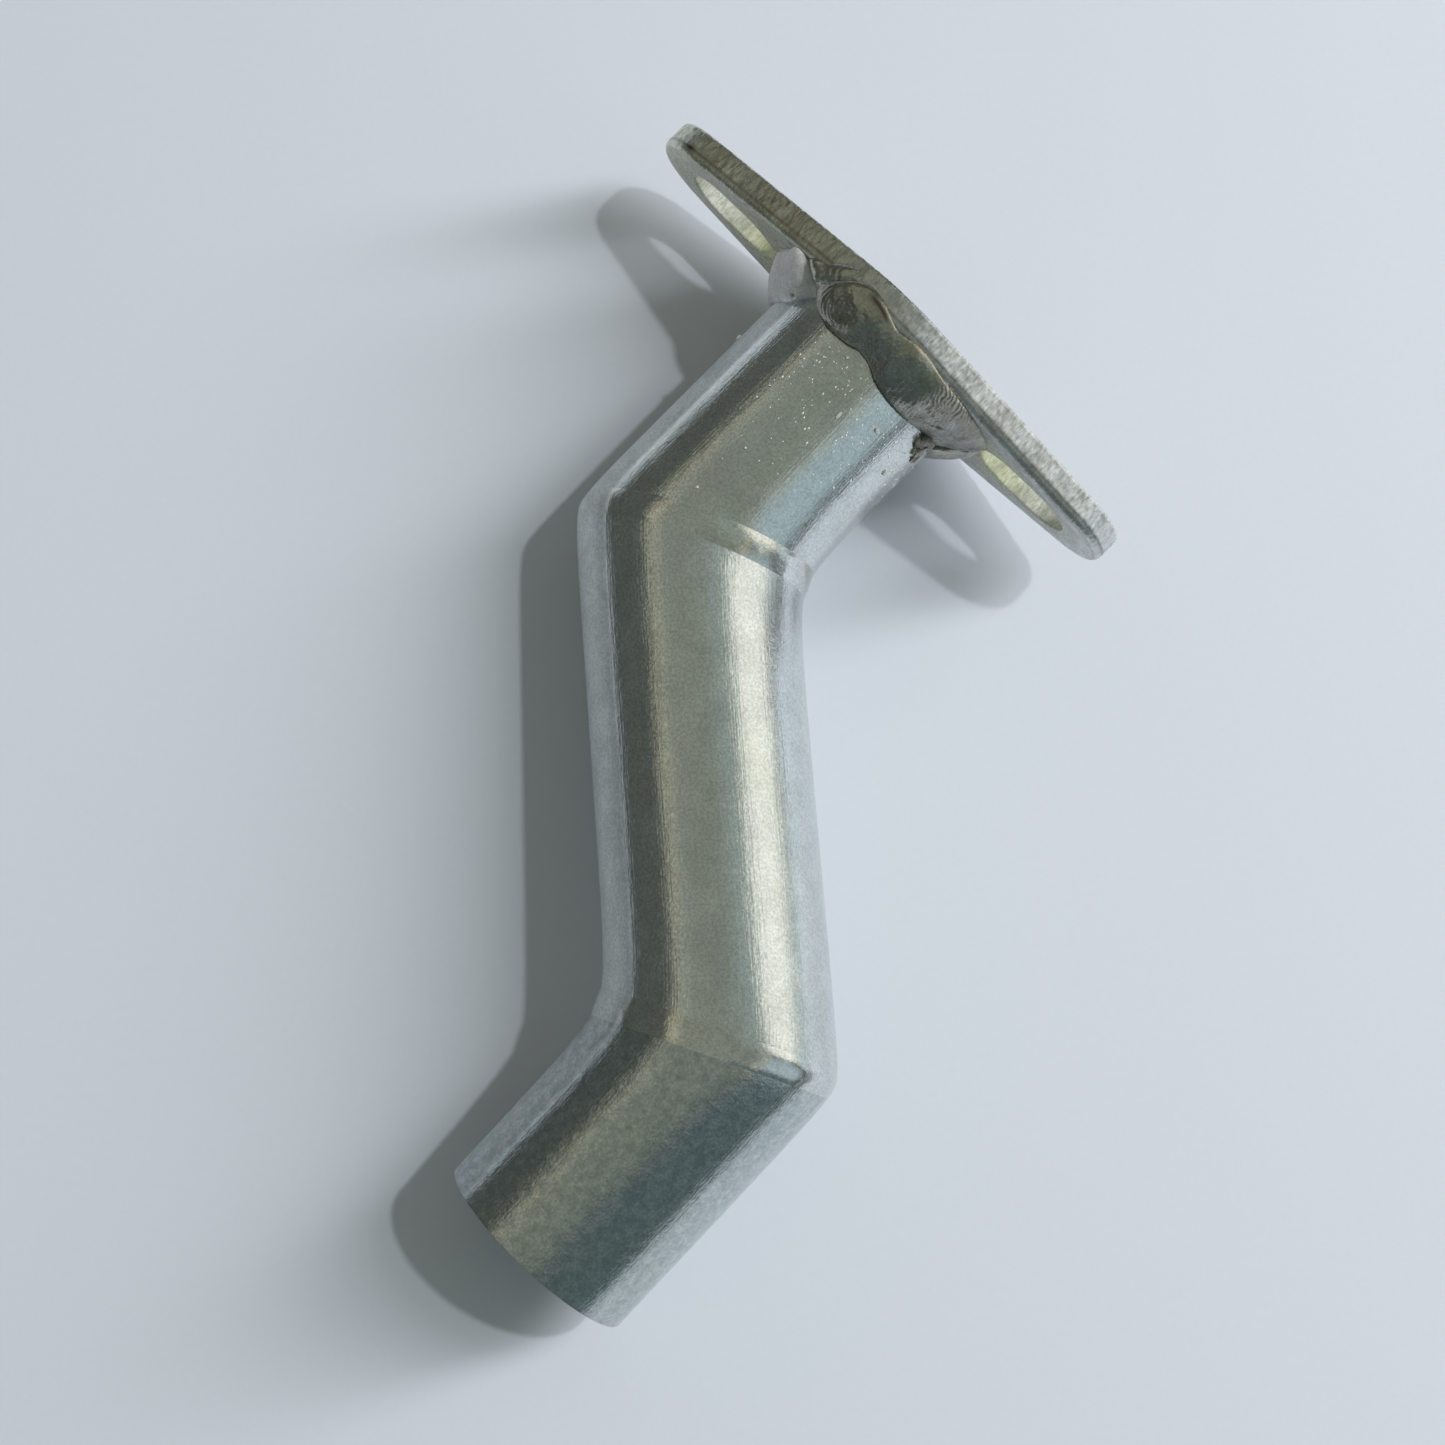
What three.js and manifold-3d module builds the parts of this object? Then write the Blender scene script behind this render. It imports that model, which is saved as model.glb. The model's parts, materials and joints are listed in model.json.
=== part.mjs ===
// Flanged pipe elbow: an oval bolting flange and three lengths of steel tube, mitred and
// welded into a double bend that sets the open end off to one side of the flange.
//
// Millimetres, +Z up. The part lies on its side on a level surface, where it rests on the
// rim of the flange, the first bend and the lip of the open end. The middle tube runs
// along Y, with the flange at the +Y end. The origin is the centre of the footprint's box.

import * as THREE from 'three';
import { mergeVertices } from 'three/addons/utils/BufferGeometryUtils.js';
import Module from 'manifold-3d';

const wasm = await Module();
wasm.setup();

const degrees = THREE.MathUtils.degToRad;

// ---- Driving dimensions --------------------------------------------------------------

const TUBE_RADIUS = 33.7 / 2;
const TUBE_WALL = 2.6;
const TUBE_SIDES = 72;

const UPPER_LENGTH = 43;           // flange's front face to the first bend, along the axis
const MIDDLE_LENGTH = 79;          // first bend to the second
const LOWER_LENGTH = 41;           // second bend to the open end
const BEND_ANGLE = degrees(50);    // the same at both bends, in opposite directions
const LOWER_TWIST = degrees(7.5);  // turn of the lower tube about the middle one

const FLANGE_THICKNESS = 5;
const FLANGE_HALF_LENGTH = 47.6;
const FLANGE_WAIST_RADIUS = 22;    // round middle of the oval, about the tube
const FLANGE_END_RADIUS = 10;
const FLANGE_TURN = degrees(-10.5); // turn of the oval about the upper tube
const SLOT_SPACING = 63;           // centre to centre
const SLOT_LENGTH = 17.5;
const SLOT_WIDTH = 13;
const CURVE_STEPS = 20;            // facets in each arc of the flange's outline

const FIT_GAP = 0.3;               // clearance between touching pieces
const TUBE_SETBACK = 1.5;          // the tube stops this far short of the mating face

const SEAM_HALF_WIDTH = 2.4;       // butt welds at the bends
const SEAM_CROWN = 0.2;            // how far a dressed seam stands proud of the tube
const SEAM_CORNER_CUT = 1.0;       // what grinding takes off the outer corner of a bend

const BEAD_ON_TUBE = 8;            // fillet weld: reach along the tube
const BEAD_ON_FLANGE = 4.6;        // fillet weld: reach out over the flange
const BEAD_BULGE = 0.9;            // swell of its face above a straight line
const BEAD_STEPS = 6;

// Pose on the level surface.
const REST_ROLL = degrees(12.8);   // about the upper tube
const REST_PITCH = degrees(6.31);  // flange end up

const FINISH = {
  tube: { color: 0xa9adab, roughness: 0.32, metalness: 0.95 },
  flange: { color: 0xb3b09c, roughness: 0.45, metalness: 0.9 },
  seam: { color: 0x9c9d93, roughness: 0.4, metalness: 0.9 },
  bead: { color: 0x8e8c80, roughness: 0.5, metalness: 0.85 },
};

// ---- The centre line, in the elbow's own axes -----------------------------------------
// Origin at the centre of the flange's front face, +X out along the upper tube, the first
// bend towards +Y.

const X = new THREE.Vector3(1, 0, 0);
const Z = new THREE.Vector3(0, 0, 1);
const flangeCentre = new THREE.Vector3(0, 0, 0);
const upperDirection = X.clone();
const middleDirection = X.clone().applyAxisAngle(Z, BEND_ANGLE);
const lowerDirection = X.clone().applyAxisAngle(middleDirection, LOWER_TWIST);

function along(start, direction, distance) {
  return start.clone().addScaledVector(direction, distance);
}

const firstBend = along(flangeCentre, upperDirection, UPPER_LENGTH);
const secondBend = along(firstBend, middleDirection, MIDDLE_LENGTH);
const openEnd = along(secondBend, lowerDirection, LOWER_LENGTH);

// ---- Solids ---------------------------------------------------------------------------

// A closed solid round an axis: each ring is joined to the next, and the last to the first.
function ringSolid(rings) {
  const sides = rings[0].length;
  const positions = rings.flat().flatMap((point) => point.toArray());
  const index = [];
  rings.forEach((ring, i) => {
    const here = i * sides;
    const there = ((i + 1) % rings.length) * sides;
    for (let k = 0; k < sides; k += 1) {
      const next = (k + 1) % sides;
      index.push(here + k, here + next, there + k);
      index.push(here + next, there + next, there + k);
    }
  });
  const geometry = new THREE.BufferGeometry();
  geometry.setAttribute('position', new THREE.Float32BufferAttribute(positions, 3));
  geometry.setIndex(index);
  return geometry;
}

// Where the wall of a round tube meets a plane. Angle zero points along reference.
function cutRing(axisPoint, direction, reference, radius, planePoint, planeNormal) {
  const side = direction.clone().cross(reference);
  const ring = [];
  for (let k = 0; k < TUBE_SIDES; k += 1) {
    const angle = (2 * Math.PI * k) / TUBE_SIDES;
    const point = along(axisPoint, reference, radius * Math.cos(angle));
    point.addScaledVector(side, radius * Math.sin(angle));
    const depth = planePoint.clone().sub(point).dot(planeNormal) / direction.dot(planeNormal);
    ring.push(along(point, direction, depth));
  }
  return ring;
}

function manifoldFrom(geometry) {
  const bare = geometry.index ? geometry.toNonIndexed() : geometry.clone();
  bare.deleteAttribute('normal');
  bare.deleteAttribute('uv');
  const merged = mergeVertices(bare, 1e-4);
  return new wasm.Manifold(new wasm.Mesh({
    numProp: 3,
    vertProperties: new Float32Array(merged.attributes.position.array),
    triVerts: new Uint32Array(merged.index.array),
  }));
}

function geometryFrom(solid) {
  const mesh = solid.getMesh();
  const geometry = new THREE.BufferGeometry();
  geometry.setAttribute('position', new THREE.BufferAttribute(mesh.vertProperties, 3));
  geometry.setIndex(new THREE.BufferAttribute(mesh.triVerts, 1));
  return geometry;
}

// ---- Tubes ----------------------------------------------------------------------------
// Each end at a bend is cut on the plane that halves the bend, short of it by half the seam.

const TUBE_BORE = TUBE_RADIUS - TUBE_WALL;
const firstMitre = upperDirection.clone().add(middleDirection).normalize();
const secondMitre = middleDirection.clone().add(lowerDirection).normalize();
const seamEdge = SEAM_HALF_WIDTH + FIT_GAP;

// A length of tube along direction between two planes, each a point and a normal.
function tube(direction, startPlane, endPlane) {
  const reference = Z.clone().cross(direction).normalize();
  const [start, startNormal] = startPlane;
  const [end, endNormal] = endPlane;
  const wall = (radius, plane, normal) => (
    cutRing(start, direction, reference, radius, plane, normal)
  );
  return ringSolid([
    wall(TUBE_RADIUS, start, startNormal),
    wall(TUBE_RADIUS, end, endNormal),
    wall(TUBE_BORE, end, endNormal),
    wall(TUBE_BORE, start, startNormal),
  ]);
}

// The point on a tube's axis that lies a given distance before or past a mitre plane.
function onAxis(bend, direction, normal, distance) {
  return along(bend, direction, distance / direction.dot(normal));
}

function upperTube() {
  const start = along(flangeCentre, upperDirection, TUBE_SETBACK - FLANGE_THICKNESS);
  const end = onAxis(firstBend, upperDirection, firstMitre, -seamEdge);
  return tube(upperDirection, [start, upperDirection], [end, firstMitre]);
}

function middleTube() {
  const start = onAxis(firstBend, middleDirection, firstMitre, seamEdge);
  const end = onAxis(secondBend, middleDirection, secondMitre, -seamEdge);
  return tube(middleDirection, [start, firstMitre], [end, secondMitre]);
}

function lowerTube() {
  const start = onAxis(secondBend, lowerDirection, secondMitre, seamEdge);
  return tube(lowerDirection, [start, secondMitre], [openEnd, lowerDirection]);
}

// ---- Butt welds at the bends ----------------------------------------------------------
// A ring as thick as the tube wall between the two cut ends. Its face swells a little
// above the tubes, and grinding has taken the point off the outer corner of the bend.

function mitreWeld(bend, before, after, normal) {
  const hinge = before.clone().cross(after).normalize();
  const outwards = before.clone().sub(after).normalize();
  const seamRing = (offset, radius) => {
    const direction = offset > 0 ? after : before;
    const reference = direction.clone().cross(hinge).normalize();
    const plane = along(bend, normal, offset);
    return cutRing(bend, direction, reference, radius, plane, normal);
  };
  const groundDown = (ring) => ring.map((point, k) => {
    const facing = Math.max(0, Math.cos((2 * Math.PI * k) / TUBE_SIDES));
    return along(point, outwards, -SEAM_CORNER_CUT * facing ** 2);
  });
  const crown = TUBE_RADIUS + SEAM_CROWN;
  const half = SEAM_HALF_WIDTH;
  return ringSolid([
    seamRing(-half, TUBE_RADIUS),
    seamRing(-half / 2, crown),
    groundDown(seamRing(0, crown)),
    seamRing(half / 2, crown),
    seamRing(half, TUBE_RADIUS),
    seamRing(half, TUBE_BORE),
    seamRing(0, TUBE_BORE),
    seamRing(-half, TUBE_BORE),
  ]);
}

// ---- Flange ---------------------------------------------------------------------------

function slotPath(centre) {
  const radius = SLOT_WIDTH / 2;
  const half = (SLOT_LENGTH - SLOT_WIDTH) / 2;
  const path = new THREE.Path();
  path.absarc(centre + half, 0, radius, -Math.PI / 2, Math.PI / 2, false);
  path.absarc(centre - half, 0, radius, Math.PI / 2, 3 * Math.PI / 2, false);
  path.closePath();
  return path;
}

// Round waist and two round ends joined by their common tangents.
function flangeOutline() {
  const endCentre = FLANGE_HALF_LENGTH - FLANGE_END_RADIUS;
  const tangent = Math.acos((FLANGE_WAIST_RADIUS - FLANGE_END_RADIUS) / endCentre);
  const shape = new THREE.Shape();
  shape.absarc(endCentre, 0, FLANGE_END_RADIUS, -tangent, tangent, false);
  shape.absarc(0, 0, FLANGE_WAIST_RADIUS, tangent, Math.PI - tangent, false);
  shape.absarc(-endCentre, 0, FLANGE_END_RADIUS, Math.PI - tangent, Math.PI + tangent, false);
  shape.absarc(0, 0, FLANGE_WAIST_RADIUS, Math.PI + tangent, 2 * Math.PI - tangent, false);
  shape.closePath();
  const bore = new THREE.Path();
  bore.absarc(0, 0, TUBE_RADIUS + FIT_GAP, 0, 2 * Math.PI, false);
  shape.holes.push(bore, slotPath(SLOT_SPACING / 2), slotPath(-SLOT_SPACING / 2));
  return shape;
}

// The outline's own x and y become the elbow's Y and Z, and its thickness runs along X.
const outlineToElbow = new THREE.Matrix4().makeBasis(new THREE.Vector3(0, 1, 0), Z, X);

function flangePlate() {
  const plate = new THREE.ExtrudeGeometry(flangeOutline(), {
    depth: FLANGE_THICKNESS,
    bevelEnabled: false,
    curveSegments: CURVE_STEPS,
  });
  plate.translate(0, 0, -FLANGE_THICKNESS);
  plate.applyMatrix4(outlineToElbow);
  plate.rotateX(FLANGE_TURN);
  return plate;
}

// ---- Fillet weld between flange and upper tube ----------------------------------------

function beadProfile() {
  const inner = TUBE_RADIUS + FIT_GAP;
  const profile = [new THREE.Vector2(inner, FIT_GAP)];
  for (let step = 0; step <= BEAD_STEPS; step += 1) {
    const t = step / BEAD_STEPS;
    const swell = BEAD_BULGE * Math.sin(Math.PI * t);
    const out = inner + BEAD_ON_FLANGE * (1 - t) + swell;
    const up = FIT_GAP + (BEAD_ON_TUBE - FIT_GAP) * t + swell / 2;
    profile.push(new THREE.Vector2(out, up));
  }
  profile.push(profile[0].clone());
  return profile;
}

// A pie slice about the upper tube, angles measured from the elbow's Y towards its Z.
function pieSlice(fromAngle, toAngle) {
  const radius = 2 * FLANGE_WAIST_RADIUS;
  const slice = new THREE.Shape();
  slice.moveTo(0, 0);
  slice.lineTo(radius * Math.cos(fromAngle), radius * Math.sin(fromAngle));
  slice.absarc(0, 0, radius, fromAngle, toAngle, false);
  slice.closePath();
  const geometry = new THREE.ExtrudeGeometry(slice, {
    depth: 2 * BEAD_ON_TUBE,
    bevelEnabled: false,
    curveSegments: CURVE_STEPS,
  });
  geometry.applyMatrix4(outlineToElbow);
  return manifoldFrom(geometry);
}

// The fillet was laid in separate runs; each stops just short of the next.
function filletRun(fromDegrees, toDegrees) {
  const stop = FIT_GAP / (2 * TUBE_RADIUS);
  const slice = pieSlice(degrees(fromDegrees) + stop, degrees(toDegrees) - stop);
  const bead = new THREE.LatheGeometry(beadProfile(), TUBE_SIDES);
  bead.rotateZ(-Math.PI / 2);
  return geometryFrom(manifoldFrom(bead).intersect(slice));
}

// ---- Assembly -------------------------------------------------------------------------

const elbow = new THREE.Group();

function place(name, geometry, finish) {
  const mesh = new THREE.Mesh(geometry, new THREE.MeshStandardMaterial(finish));
  mesh.name = name;
  elbow.add(mesh);
}

place('flange_plate', flangePlate(), FINISH.flange);
place('upper_tube', upperTube(), FINISH.tube);
place('middle_tube', middleTube(), FINISH.tube);
place('lower_tube', lowerTube(), FINISH.tube);
place(
  'first_mitre_weld',
  mitreWeld(firstBend, upperDirection, middleDirection, firstMitre),
  FINISH.seam,
);
place(
  'second_mitre_weld',
  mitreWeld(secondBend, middleDirection, lowerDirection, secondMitre),
  FINISH.seam,
);

// Where each run of the fillet starts and stops, in degrees round the upper tube.
place('front_fillet_run', filletRun(-12, 120), FINISH.bead);
place('crater_fillet_run', filletRun(120, 150), FINISH.bead);
place('side_fillet_run', filletRun(150, 245), FINISH.bead);
place('rear_fillet_run', filletRun(245, 348), FINISH.bead);

// Lay the elbow down on its three touch points, then turn it until the middle tube's
// plan lies along Y and centre its footprint.
elbow.rotation.set(REST_ROLL, REST_PITCH, 0, 'ZYX');
const middleAsLaid = middleDirection.clone().applyEuler(elbow.rotation);
elbow.rotation.z = -Math.PI / 2 - Math.atan2(middleAsLaid.y, middleAsLaid.x);
elbow.updateMatrixWorld(true);
const footprint = new THREE.Box3().setFromObject(elbow, true);
const centre = footprint.getCenter(new THREE.Vector3());
elbow.position.set(-centre.x, -centre.y, -footprint.min.z);

const part = new THREE.Group();
part.add(elbow);

export default part;
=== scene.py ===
# %% [markdown]
# # Flanged pipe elbow
#
# A short zinc-plated steel pipe with two mitred bends, welded to an oval bolting flange.
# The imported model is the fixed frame: it says where every piece is. Each of its plain
# solids is replaced here by a finer piece in the same place, with the rounding, ripples,
# burn marks and plating that the real fabrication shows.

# %% Load the frame
import json
import math

import bmesh
import bpy
import numpy as np
from mathutils import Matrix, Vector


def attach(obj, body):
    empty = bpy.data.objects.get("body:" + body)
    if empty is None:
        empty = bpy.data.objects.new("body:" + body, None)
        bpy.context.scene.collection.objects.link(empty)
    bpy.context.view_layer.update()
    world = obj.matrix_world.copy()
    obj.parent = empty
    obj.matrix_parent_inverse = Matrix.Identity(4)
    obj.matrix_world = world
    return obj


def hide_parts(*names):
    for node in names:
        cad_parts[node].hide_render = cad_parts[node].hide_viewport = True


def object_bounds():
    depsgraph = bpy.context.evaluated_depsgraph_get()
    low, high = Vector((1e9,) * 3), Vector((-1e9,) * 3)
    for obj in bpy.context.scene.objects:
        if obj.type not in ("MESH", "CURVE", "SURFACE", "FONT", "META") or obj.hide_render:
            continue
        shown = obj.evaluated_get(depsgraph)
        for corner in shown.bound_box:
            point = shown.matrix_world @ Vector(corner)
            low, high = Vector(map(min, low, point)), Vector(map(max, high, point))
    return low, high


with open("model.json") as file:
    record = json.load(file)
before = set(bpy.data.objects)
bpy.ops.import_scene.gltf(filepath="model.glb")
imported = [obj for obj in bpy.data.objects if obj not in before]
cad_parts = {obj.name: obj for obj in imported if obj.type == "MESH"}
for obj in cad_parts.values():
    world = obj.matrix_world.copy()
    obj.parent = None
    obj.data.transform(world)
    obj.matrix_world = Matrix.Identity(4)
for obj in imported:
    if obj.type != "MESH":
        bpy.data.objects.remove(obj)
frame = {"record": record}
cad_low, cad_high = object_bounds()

print("model size, mm:", [round(1000 * s, 1) for s in cad_high - cad_low])

# %% [markdown]
# ## Where things are
#
# Blender works in metres, and a small fitting is easier to think about in millimetres, so
# the shapes below are worked out in millimetres and scaled as each mesh is made.
# The corners of the pipe could be measured off the plain solids, but the mounts say it
# more simply. The bolt seats give the flange's centre, its long way and the way the first
# tube leaves it, and the open end's mount gives the way the last tube points. The centre
# line is then three straight lengths laid end to end.

# %% The centre line
MM = 0.001
BEND = math.radians(50)
FLANGE_TURN = math.radians(10.5)  # from the oval's long way to the plane of the first bend
UPPER_LENGTH, MIDDLE_LENGTH, LOWER_LENGTH = 43.0, 79.0, 41.0
RADIUS, BORE = 16.85, 14.25


def unit(vector):
    vector = np.asarray(vector, float)
    return vector / np.linalg.norm(vector, axis=-1, keepdims=True)


def turned(vector, axis, angle):
    """vector turned about axis."""
    around = np.cross(axis, vector)
    along = axis * np.dot(axis, vector)
    return vector * math.cos(angle) + around * math.sin(angle) + along * (1 - math.cos(angle))


mounts = {m["name"]: m for m in frame["record"]["mounts"]}
seats = [np.array(mounts[n]["pos_m"]) / MM for n in ("bolt_seat_left", "bolt_seat_right")]
flange_centre = (seats[0] + seats[1]) / 2
upper_way = unit(mounts["bolt_seat_right"]["axis"])
oval_way = unit(seats[1] - seats[0])
cross_way = np.cross(upper_way, oval_way)
bend_side = turned(oval_way, upper_way, FLANGE_TURN)
bend_normal = np.cross(upper_way, bend_side)
middle_way = turned(upper_way, bend_normal, BEND)
lower_way = unit(mounts["open_end"]["axis"])

first_corner = flange_centre + UPPER_LENGTH * upper_way
second_corner = first_corner + MIDDLE_LENGTH * middle_way
open_end = second_corner + LOWER_LENGTH * lower_way
print("first bend", np.round(first_corner, 1))
print("second bend", np.round(second_corner, 1))
print("open end", np.round(open_end, 1))

# %% [markdown]
# ## Camera
#
# The camera looks almost straight down from under half a metre, a little from the near
# side, with a slightly long lens, so the tubes widen a touch towards it. A Track To
# constraint could aim it, but its roll matters too, so its three directions are worked
# out and written into its matrix.

# %% Camera
camera_data = bpy.data.cameras.new("camera")
camera_data.sensor_width = 36.0
camera_data.lens = 68.05
camera_data.clip_start, camera_data.clip_end = 0.01, 20.0
camera = bpy.data.objects.new("camera", camera_data)
bpy.context.scene.collection.objects.link(camera)
camera_place = Vector((-0.0458, -0.0699, 0.4339))
camera_aim = Vector((-0.0087, -0.0022, 0.0130))
camera_top = Vector((0.0583, 0.9848, 0.1636))
back = (camera_place - camera_aim).normalized()
right = camera_top.cross(back).normalized()
camera_turn = Matrix((right, back.cross(right), back)).transposed().to_4x4()
camera.matrix_world = Matrix.Translation(camera_place) @ camera_turn
bpy.context.scene.camera = camera
print("camera", round((camera_place - camera_aim).length, 3), "m from the part")

# %% [markdown]
# ## Meshes from points
#
# Every piece is a grid of points worked out with numpy. Modifiers and sculpting would do
# as well, but a tube wall, a seam and a weld bead are all a section carried along a path,
# with small dents and ripples added as a formula, and points are the shortest way to say
# that. Each point also carries five things for the materials to read: its place along and
# round the piece ("grain"), how burnt it is or how much shade is painted on it
# ("soot"), how yellow its plating is ("gold"), how far it lies on the side of a
# tube away from the sun, which is roughened and given painted shade ("dull"),
# and how matt and pale it is ("frost").

# %% Mesh helpers
MARKS = ("soot", "gold", "dull", "frost")


def wander(points, size, seed, waves=28):
    """Smooth random unevenness, about size mm from bump to bump, mostly between -1 and 1."""
    random = np.random.default_rng(seed)
    ways = unit(random.normal(size=(waves, 3)))
    rates = 2 * math.pi / (size * random.uniform(0.7, 1.6, waves))
    phases = random.uniform(0, 2 * math.pi, waves)
    return np.sin(points @ (ways * rates[:, None]).T + phases).sum(1) / math.sqrt(waves)


def smooth(low, high, value):
    """0 at low and before it, 1 at high and past it, and an easy curve between."""
    t = np.clip((np.asarray(value, float) - low) / (high - low), 0, 1)
    return t * t * (3 - 2 * t)


def hump(value, middle, width):
    """1 at middle, easing to nothing about two widths from it."""
    return np.exp(-(((value - middle) / width) ** 2))


def grid_faces(rows, columns, start=0, close_rows=False):
    """Quads of a grid of points. Each row is a closed ring, and the rows can close too."""
    faces = []
    for i in range(rows if close_rows else rows - 1):
        here, there = start + i * columns, start + (i + 1) % rows * columns
        for k in range(columns):
            n = (k + 1) % columns
            faces.append((here + k, here + n, there + n, there + k))
    return faces


def make_piece(name, points, faces, material, node, slot, grain, sharp_degrees=40, **marks):
    """A mesh object from points in mm, smooth but for its sharp edges, in its place."""
    mesh = bpy.data.meshes.new(name)
    mesh.from_pydata((np.asarray(points) * MM).tolist(), [], faces)
    mesh.validate()
    mesh.update()
    mesh.shade_smooth()
    mesh.set_sharp_from_angle(angle=math.radians(sharp_degrees))
    mesh.attributes.new("grain", "FLOAT_VECTOR", "POINT").data.foreach_set(
        "vector", np.asarray(grain, np.float32).ravel())
    for title in MARKS:
        values = marks.get(title, np.zeros(len(points)))
        mesh.attributes.new(title, "FLOAT", "POINT").data.foreach_set(
            "value", np.asarray(values, np.float32).ravel())
    piece = bpy.data.objects.new(name, mesh)
    bpy.context.scene.collection.objects.link(piece)
    mesh.materials.append(material)
    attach(piece, "root")
    if node:
        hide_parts(node)
    print(f"{name}: {len(points)} points, {len(faces)} faces")


print("marks on every point:", ("grain", *MARKS))

# %% [markdown]
# ## Shader helpers
#
# A material is a tree of nodes joined by links. Written out one by one they take a page,
# so these helpers each add one node, fill its inputs with numbers or with other nodes'
# outputs, and hand back the output that the next one needs.

# %% Shader helpers
def fill(tree, socket, value):
    """Links a node's input to an output, or sets it to a plain value."""
    if isinstance(value, bpy.types.NodeSocket):
        tree.links.new(value, socket)
    else:
        socket.default_value = value


def node_of(tree, kind, inputs=None, **settings):
    """A new shader node with its settings and inputs filled in."""
    made = tree.nodes.new(kind)
    for title, value in settings.items():
        setattr(made, title, value)
    for title, value in (inputs or {}).items():
        fill(tree, made.inputs[title], value)
    return made


def mark(tree, title, output="Fac"):
    """What a mesh's points carry under a title."""
    return node_of(tree, "ShaderNodeAttribute", attribute_name=title).outputs[output]


def noise(tree, vector, size, detail=2.0, roughness=0.5, stretch=(1, 1, 1)):
    """Noise with features about size mm across, stretched along the grain where asked."""
    scaled = node_of(tree, "ShaderNodeMapping", {"Vector": vector, "Scale": stretch})
    made = node_of(tree, "ShaderNodeTexNoise", {
        "Vector": scaled.outputs["Vector"], "Scale": 1.0 / size,
        "Detail": detail, "Roughness": roughness})
    return made.outputs["Fac"]


def spread(tree, value, from_low, from_high, to_low=0.0, to_high=1.0):
    """value carried from one range to another, and held inside it."""
    made = node_of(tree, "ShaderNodeMapRange", {
        "Value": value, "From Min": from_low, "From Max": from_high,
        "To Min": to_low, "To Max": to_high})
    return made.outputs["Result"]


def blend_colour(tree, amount, first, second, mode="MIX"):
    made = node_of(tree, "ShaderNodeMix", {"Factor": amount}, data_type="RGBA", blend_type=mode)
    for socket, value in ((made.inputs[6], first), (made.inputs[7], second)):
        fill(tree, socket, value if isinstance(value, bpy.types.NodeSocket) else (*value, 1.0))
    return made.outputs[2]


def grey(tree, value):
    """A grey as bright as value."""
    made = node_of(tree, "ShaderNodeCombineColor", {"Red": value, "Green": value, "Blue": value})
    return made.outputs[0]


def arithmetic(tree, operation, first, second):
    made = node_of(tree, "ShaderNodeMath", operation=operation)
    for socket, value in zip(made.inputs, (first, second)):
        fill(tree, socket, value)
    return made.outputs[0]


# %% [markdown]
# ## Zinc plating
#
# Zinc plating is a metal skin, so the shader is fully metallic and its colour is what it
# does to a reflection: bluish grey, with a faint straw-coloured film in patches. A plain
# grey metal with one roughness would look like chrome. What makes it read as plating is
# how it scatters: a cloudy mottle a few millimetres across, and a fine crystal speckle
# that breaks up every reflection. Both go into roughness and bump as well as colour.
#
# The marks on the points then change it in places. Soot and painted shade turn it brown
# and rough, gold tints it, the side of a tube away from the sun is roughened and darkened
# with painted shade, and frost takes away some of the metal, speckle by speckle, which
# leaves a matt pale skin that the sun can light.

# %% Zinc recipe
CRYSTAL_SIZE, MOTTLE_SIZE, PEEL_SIZE, FILM_SIZE, STREAK_SIZE = 0.42, 1.6, 1.5, 11.0, 0.4
GOLD_TINT = (0.95, 0.95, 0.62)
# brown of burns, also used as painted shade in the pin hole
SOOT_AND_SHADE_BROWN = (0.075, 0.05, 0.03)
# how much the side of a tube away from the sun is darkened as painted shade, and how much that side
# and soot are roughened
PAINTED_SHADE_DIMS, SHADED_SIDE_ROUGHENS, SOOT_AND_SHADE_ROUGHENS = 0.18, 0.36, 0.25
BUMP_DEPTH = 0.0001


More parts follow.
